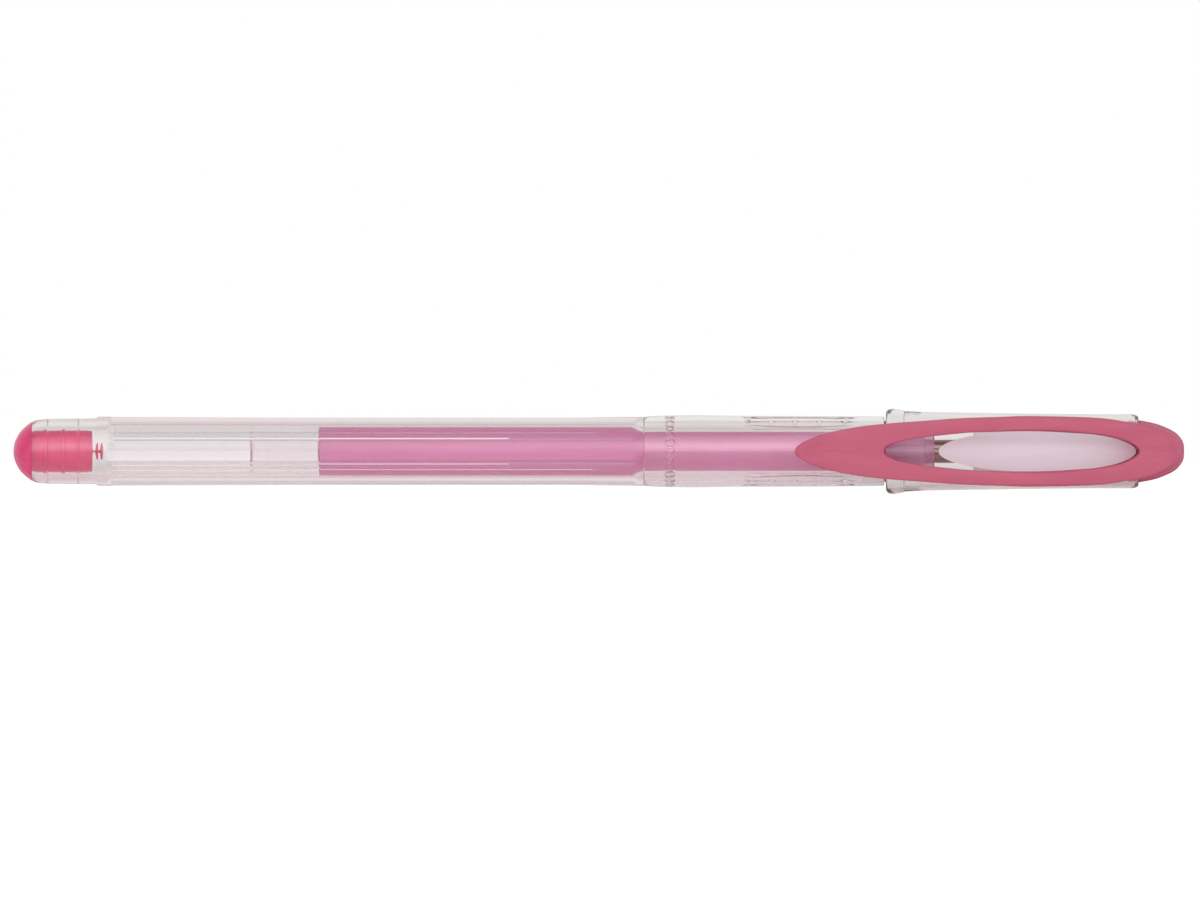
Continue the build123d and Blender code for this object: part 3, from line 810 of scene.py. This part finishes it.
def cap_label():
    """An oval film with pointed ends that lies on the cap, made as two skins and a rim."""
    half_length = (LABEL_TO - LABEL_FROM) / 2
    middle = (LABEL_TO + LABEL_FROM) / 2
    half_width = radius_of("cap_label") - LABEL_POINT
    points, grids = [], []
    for lift in LABEL_LIFTS:
        grid = []
        for i in range(LABEL_ROWS + 1):
            along = -math.cos(math.pi * i / LABEL_ROWS)
            station = middle + half_length * along
            radius = radius_at(CAP_OUTSIDE, station) + lift
            width = half_width * math.sqrt(1 - along**2) + LABEL_POINT
            row = []
            for j in range(LABEL_COLUMNS + 1):
                z = width * (2 * j / LABEL_COLUMNS - 1)
                row.append(len(points))
                points.append((station, -math.sqrt(radius**2 - z**2), z))
            grid.append(row)
        grids.append(grid)
    faces = []
    for grid in grids:
        for a, b in zip(grid, grid[1:]):
            faces += [(a[j], a[j + 1], b[j + 1], b[j]) for j in range(LABEL_COLUMNS)]
    low, high = [
        g[0] + [r[-1] for r in g[1:]] + g[-1][-2::-1] + [r[0] for r in g[-2:0:-1]] for g in grids
    ]
    for k in range(len(low)):
        n = (k + 1) % len(low)
        faces.append((low[k], low[n], high[n], high[k]))
    return make("cap_label", (points, faces), "cap", LABEL_FILM, ["cap_label"])


# The rounded end of the cap, and the spigot that holds it in the tube
BULLET = [(143.75, 3.99), (144.0, 3.93), (145.2, 3.70), (146.15, 3.45), (147.06, 3.10),
          (147.97, 2.67), (148.6, 2.23), (149.05, 1.72)]
SPIGOT = 3.80
SPIGOT_RIB = 3.88
SPIGOT_BORE = 2.7


def end_bullet():
    spigot = [(SPIGOT_FROM, SPIGOT_BORE)]
    spigot += eased(
        [(SPIGOT_FROM, 3.6), (SPIGOT_FROM + 0.3, SPIGOT_RIB), (SPIGOT_FROM + 0.9, SPIGOT_RIB),
         (SPIGOT_FROM + 1.0, SPIGOT), (142.3, SPIGOT), (142.4, SPIGOT_RIB), (143.0, SPIGOT_RIB),
         (143.1, SPIGOT), (143.7, SPIGOT)], 0.08
    )
    end = eased([(149.3, 1.32), (PEN_LENGTH - 0.04, 0.9), (PEN_LENGTH - 0.01, 0.4)], 0.3)
    inside = [(PEN_LENGTH, 0.0), (142.5, 0.0), (142.5, SPIGOT_BORE)]
    shape = turned(spigot + flow(BULLET) + end + inside)
    return make("end_plug_bullet", shape, "cap", PINK_CLIP, ["end_plug"])


INNER_BORE = 1.77


def inner_cap():
    outside = eased(
        [(122.6, INNER_BORE), (122.6, 2.85), (131.2, 2.85), (131.2, 3.88), (132.2, 3.88),
         (132.2, 0.6)], 0.15
    )
    shape = turned(outside + [(132.2, 0.0), (130.62, 0.0), (130.62, INNER_BORE)])
    return make("inner_cap", shape, "cap", INNER_CAP_PLASTIC, ["inner_cap"])


def cap_seal():
    low, high = span("cap_seal")
    side = eased([(low, 1.0), (low, 1.72), (high, 1.72), (high, 1.0)], 0.15)
    shape = turned([(low, 0.0)] + side + [(high, 0.0)])
    return make("cap_seal", shape, "cap", SEAL_RUBBER, ["cap_seal"])


# ---------------------------------------------------------------- clip


CLIP_OUTLINE = [(CLIP_FROM, 0.0), (CLIP_FROM + 0.13, 0.5), (100.5, 1.0), (102.0, 1.74),
                (104.0, 2.38), (107.7, 3.10), (111.6, 3.55),
                (115.8, 3.86), (120.9, 4.22), (126.0, 4.40), (130.0, 4.50), (138.2, 4.28),
                (142.3, 3.72), (144.2, 3.40), (146.15, 2.76), (147.97, 1.78), (148.7, 1.14),
                (149.15, 0.55), (149.3, 0.0)]
WINDOW_OUTLINE = [(111.3, 0.0), (111.42, 0.42), (112.1, 0.88), (113.5, 1.32), (116.0, 1.75),
                  (120.2, 2.22), (123.4, 2.44), (130.6, 2.55), (137.5, 2.18), (139.3, 1.97),
                  (141.1, 1.60), (142.04, 1.26), (142.96, 0.76), (143.4, 0.38), (143.55, 0.0)]
WINDOW_DRAFT = 0.22  # how much wider the window is at the clip's face than underneath
UNDER_TO = 140.5  # the underside is flat from here to the root
CLIP_TOP = [(CLIP_FROM, 6.80), (101.5, 7.45), (104.5, 8.22), (108.0, 8.62), (112.0, 8.85),
            (122.0, CLIP_OUTER), (146.0, CLIP_OUTER), (147.6, 8.78), (148.7, 7.9), (149.3, 6.4)]
CLIP_UNDER = [(CLIP_FROM, 5.90), (101.6, 5.40), (104.3, 5.55), (108.0, 6.75), (113.0, 7.35),
              (UNDER_TO, 7.60)]
ROOT_FROM = 141.6
ROOT_LENGTH = 2.8  # over this length the underside drops into the end of the cap
ROOT_SUNK = 0.9
CLIP_ROWS = 150  # along each half of the loop
CLIP_EDGE = 0.42  # rounding of the edges of the clip's face
WINDOW_EDGE = 0.12
UNDER_EDGE = 0.2
EDGE_STEPS = 6
FACE_COLUMNS = 14
CROWN = 0.10  # the face falls off by this to each side
GROOVE_DEPTH = 0.04  # of the fine line down the middle of the face
GROOVE_HALF_WIDTH = 0.09
GROOVE_MARGIN = 0.1  # share of the face left plain at each end of the line


EVEN_SHARE = 0.35  # of the spacing along the outlines; the rest gathers points at their ends
LONG_SPAN = 8  # the clip's top and underside are straight between points further apart


def spaced(points, count):
    """Points along a mirrored half outline, closer together near its two ends."""
    mirrored = [(points[1][0], -points[1][1])] + points + [(points[-2][0], -points[-2][1])]
    run = flow(mirrored, 12)[12:-12]
    lengths = [0.0]
    for (a, b), (c, d) in zip(run, run[1:]):
        lengths.append(lengths[-1] + math.hypot(c - a, d - b))
    out, k = [], 0
    for i in range(count + 1):
        gathered = (1 - math.cos(math.pi * i / count)) / 2
        share = EVEN_SHARE * i / count + (1 - EVEN_SHARE) * gathered
        want = lengths[-1] * share
        while k < len(run) - 2 and lengths[k + 1] < want:
            k += 1
        t = (want - lengths[k]) / (lengths[k + 1] - lengths[k])
        out.append(tuple(p + (q - p) * min(t, 1) for p, q in zip(run[k], run[k + 1])))
    return out


def height(table, station):
    """Distance from the axis at a station, on a smooth line through the table."""
    if station <= table[0][0]:
        return table[0][1]
    for k in range(len(table) - 1):
        (s1, r1), (s2, r2) = table[k], table[k + 1]
        if station <= s2:
            s0, r0 = table[k - 1] if k else table[k]
            s3, r3 = table[k + 2] if k + 2 < len(table) else table[k + 1]
            m1 = (r2 - r0) / max(s2 - s0, 1e-6)
            m2 = (r3 - r1) / max(s3 - s1, 1e-6)
            if s2 - s1 > LONG_SPAN:
                m1 = m2 = (r2 - r1) / (s2 - s1)
            t = (station - s1) / (s2 - s1)
            w = s2 - s1
            return ((2 * t**3 - 3 * t**2 + 1) * r1 + (t**3 - 2 * t**2 + t) * w * m1
                    + (3 * t**2 - 2 * t**3) * r2 + (t**3 - t**2) * w * m2)
    return table[-1][1]


def under(station):
    """The clip's underside. At the root it drops into the rounded end of the cap."""
    plain = height(CLIP_UNDER, station) if station < UNDER_TO else CLIP_UNDER[-1][1]
    share = min(max((station - ROOT_FROM) / ROOT_LENGTH, 0), 1)
    share = share * share * (3 - 2 * share)
    root = max(radius_at(BULLET, max(station, BULLET[0][0])) - ROOT_SUNK, 1.0)
    return plain + (root - plain) * share


def clip_section(width):
    """One section of the loop, as (distance from the window, side, inward)."""
    top, low = min(CLIP_EDGE, 0.4 * width), min(UNDER_EDGE, 0.3 * width)
    lip = WINDOW_EDGE
    quarter = [(math.cos(a), math.sin(a)) for a in arc_steps(EDGE_STEPS)]
    inner_steps = [k / FACE_COLUMNS for k in range(1, FACE_COLUMNS)]
    loop = [(lip * (1 - c), "face", lip * (1 - s)) for c, s in quarter]
    loop += [(lip + (width - lip - top) * t, "face", 0.0) for t in inner_steps]
    loop += [(width - top * (1 - s), "face", top * (1 - c)) for c, s in quarter]
    loop += [(width - low * (1 - c), "under", low * (1 - s)) for c, s in quarter]
    loop += [(width - low - (width - 2 * low) * t, "under", 0.0) for t in inner_steps]
    loop += [(low * (1 - s), "under", low * (1 - c)) for c, s in quarter]
    return loop


def clip():
    """The clip's loop and its root, as one ring of sections round the window."""
    inner = spaced(WINDOW_OUTLINE, CLIP_ROWS)
    outer = spaced(CLIP_OUTLINE, CLIP_ROWS)
    pairs = list(zip(inner, outer))
    pairs += [((a, -b), (c, -d)) for (a, b), (c, d) in pairs[-2:0:-1]]
    points, rings = [], []
    for (s0, z0), (s1, z1) in pairs:
        width = math.hypot(s1 - s0, z1 - z0)
        ring = []
        for distance, side, inward in clip_section(width):
            t = distance / width
            s, z = s0 + (s1 - s0) * t, z0 + (z1 - z0) * t
            if side == "face":
                draft = WINDOW_DRAFT * (1 - t)
                s, z = s + (s1 - s0) * draft / width, z + (z1 - z0) * draft / width
                crown = CROWN * (2 * t - 1) ** 2
                depth = GROOVE_DEPTH * max(0.0, 1 - abs(z) / GROOVE_HALF_WIDTH)
                groove = depth if GROOVE_MARGIN < t < 1 - GROOVE_MARGIN else 0.0
                y = height(CLIP_TOP, s) - inward - crown - groove
            else:
                y = under(s) + inward
            ring.append(len(points))
            points.append((s, -y, z))
        rings.append(ring)
    faces = []
    size = len(rings[0])
    for a, b in zip(rings, rings[1:] + rings[:1]):
        faces += [(a[k], a[(k + 1) % size], b[(k + 1) % size], b[k]) for k in range(size)]
    nodes = ["clip_arm", "end_plug"]
    piece = make("clip_loop", (points, faces), None, PINK_CLIP, nodes)
    y = HINGE["pos_m"][1]
    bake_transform(piece)
    return piece


# ---------------------------------------------------------------- studio

FRAME_WIDTH = 153.24  # what the picture spans, at the pen's axis
LENS = 1175.0
SENSOR = 36.0
AIM_RIGHT = 0.16  # the picture's middle, from the pen's middle
AIM_UP = 0.17
CAMERA_REACH = 40.0
FLOOR_HALF = 12.0
FLOOR_DARK, FLOOR_PALE = (0.62, 0.62, 0.62), (0.66, 0.66, 0.66)
SOFTBOX_AT = (0.1, -0.9, 0.35)
SOFTBOX_SIZE = (0.9, 0.35)
SOFTBOX_WATTS = 0.4
CLEAR_BOUNCES = 96  # light crosses many clear walls here

# The surround's brightness, by direction: 0 is the camera's side or straight down, and 1 is
# the far side or straight up
WORLD_DEPTH = [(0.0, 1.3), (1.0, 0.82), (0.20, 1.25), (0.36, 0.50), (0.54, 0.40), (0.62, 0.84),
               (0.85, 0.88)]
WORLD_RISE = [(0.0, 0.9), (1.0, 0.70), (0.5, 1.0), (0.75, 1.04)]
FLOOR_GLOW = 0.24  # as the pen sees the floor
FLOOR_GLOW_SEEN = 0.62  # as the camera sees it


def camera():
    data = bpy.data.cameras.new("camera")
    data.lens = LENS
    data.sensor_width = SENSOR
    data.clip_end = CAMERA_REACH
    view = bpy.data.objects.new("camera", data)
    distance = FRAME_WIDTH / 2 * LENS / (SENSOR / 2) * MM
    middle = (cad_low.x + cad_high.x) / 2
    view.location = (middle + AIM_RIGHT * MM, -distance, AIM_UP * MM)
    view.rotation_euler = (math.pi / 2, 0, 0)
    bpy.context.collection.objects.link(view)
    bpy.context.scene.camera = view


def floor():
    mesh = bpy.data.meshes.new("floor")
    h, z = FLOOR_HALF, FLOOR_Z
    mesh.from_pydata([(-h, -h, z), (h, -h, z), (h, h, z), (-h, h, z)], [], [(0, 1, 2, 3)])
    ground = bpy.data.objects.new("floor", mesh)
    bpy.context.collection.objects.link(ground)
    material, tree, shader = new_material("pale_floor")
    mottled = mixed(tree, noise(tree, 40), FLOOR_DARK, FLOOR_PALE)
    tree.links.new(mottled, shader.inputs["Base Color"])
    shader.inputs["Emission Color"].default_value = (1, 1, 1, 1)
    path = add_node(tree, "ShaderNodeLightPath")
    glow = add_node(tree, "ShaderNodeMapRange")
    glow.inputs["To Min"].default_value = FLOOR_GLOW
    glow.inputs["To Max"].default_value = FLOOR_GLOW_SEEN
    tree.links.new(path.outputs["Is Camera Ray"], glow.inputs["Value"])
    tree.links.new(glow.outputs["Result"], shader.inputs["Emission Strength"])
    shader.inputs["Roughness"].default_value = 0.9
    shader.inputs["Specular IOR Level"].default_value = 0.1
    mesh.materials.append(material)


def studio_world():
    """A pale surround, brightest behind the camera and dimmer overhead and at the sides."""
    world = bpy.data.worlds.new("studio")
    bpy.context.scene.world = world
    world.use_nodes = True
    tree = world.node_tree
    tree.nodes.clear()
    coords = add_node(tree, "ShaderNodeTexCoord")
    split = add_node(tree, "ShaderNodeSeparateXYZ")
    tree.links.new(coords.outputs["Generated"], split.inputs["Vector"])
    levels = []
    for axis, stops in (("Y", WORLD_DEPTH), ("Z", WORLD_RISE)):
        spread = add_node(tree, "ShaderNodeMapRange")
        spread.inputs["From Min"].default_value = -1.0
        tree.links.new(split.outputs[axis], spread.inputs["Value"])
        ramp = add_node(tree, "ShaderNodeValToRGB")
        tree.links.new(spread.outputs["Result"], ramp.inputs["Fac"])
        for k, (place, level) in enumerate(stops):
            stop = ramp.color_ramp.elements[k] if k < 2 else ramp.color_ramp.elements.new(place)
            stop.position = place
            stop.color = (level, level, level, 1)
        levels.append(ramp.outputs["Color"])
    product = add_node(tree, "ShaderNodeVectorMath", operation="MULTIPLY")
    tree.links.new(levels[0], product.inputs[0])
    tree.links.new(levels[1], product.inputs[1])
    lit = add_node(tree, "ShaderNodeBackground", Strength=1.0)
    tree.links.new(product.outputs["Vector"], lit.inputs["Color"])
    seen = add_node(tree, "ShaderNodeBackground", Strength=1.0)
    seen.inputs["Color"].default_value = (1, 1, 1, 1)
    path = add_node(tree, "ShaderNodeLightPath")
    choice = add_node(tree, "ShaderNodeMixShader")
    tree.links.new(path.outputs["Is Camera Ray"], choice.inputs["Fac"])
    tree.links.new(lit.outputs["Background"], choice.inputs[1])
    tree.links.new(seen.outputs["Background"], choice.inputs[2])
    output = add_node(tree, "ShaderNodeOutputWorld")
    tree.links.new(choice.outputs["Shader"], output.inputs["Surface"])


def softbox(name, place, target, size, power):
    data = bpy.data.lights.new(name, "AREA")
    data.shape = "RECTANGLE"
    data.size, data.size_y = size
    data.energy = power
    lamp = bpy.data.objects.new(name, data)
    lamp.location = place
    lamp.rotation_euler = (Vector(target) - Vector(place)).to_track_quat("-Z", "Y").to_euler()
    bpy.context.collection.objects.link(lamp)


def studio():
    studio_world()
    floor()
    middle = ((cad_low.x + cad_high.x) / 2, 0, 0)
    softbox("softbox_front", SOFTBOX_AT, middle, SOFTBOX_SIZE, SOFTBOX_WATTS)
    scene = bpy.context.scene
    scene.view_settings.view_transform = "Standard"
    scene.cycles.max_bounces = CLEAR_BOUNCES
    scene.cycles.transmission_bounces = CLEAR_BOUNCES
    scene.cycles.glossy_bounces = CLEAR_BOUNCES // 2
    scene.cycles.transparent_max_bounces = 32
    scene.cycles.blur_glossy = 0.0
    scene.cycles.diffuse_bounces = 8
    scene.cycles.sample_clamp_indirect = 8.0


camera()
studio()
barrel()
tail_plug()
grip_sleeve()
nose_cone()
refill_tube()
grease_follower()
ink_column()
tip_holder()
metal_tip()
writing_ball()
cap_tube()
cap_label()
end_bullet()
inner_cap()
cap_seal()
clip()
for node, material in (("valve_ball", STEEL), ("tip_spring", STEEL)):
    part = frame["nodes"][node]
    part.data.materials.clear()
    part.data.materials.append(material)
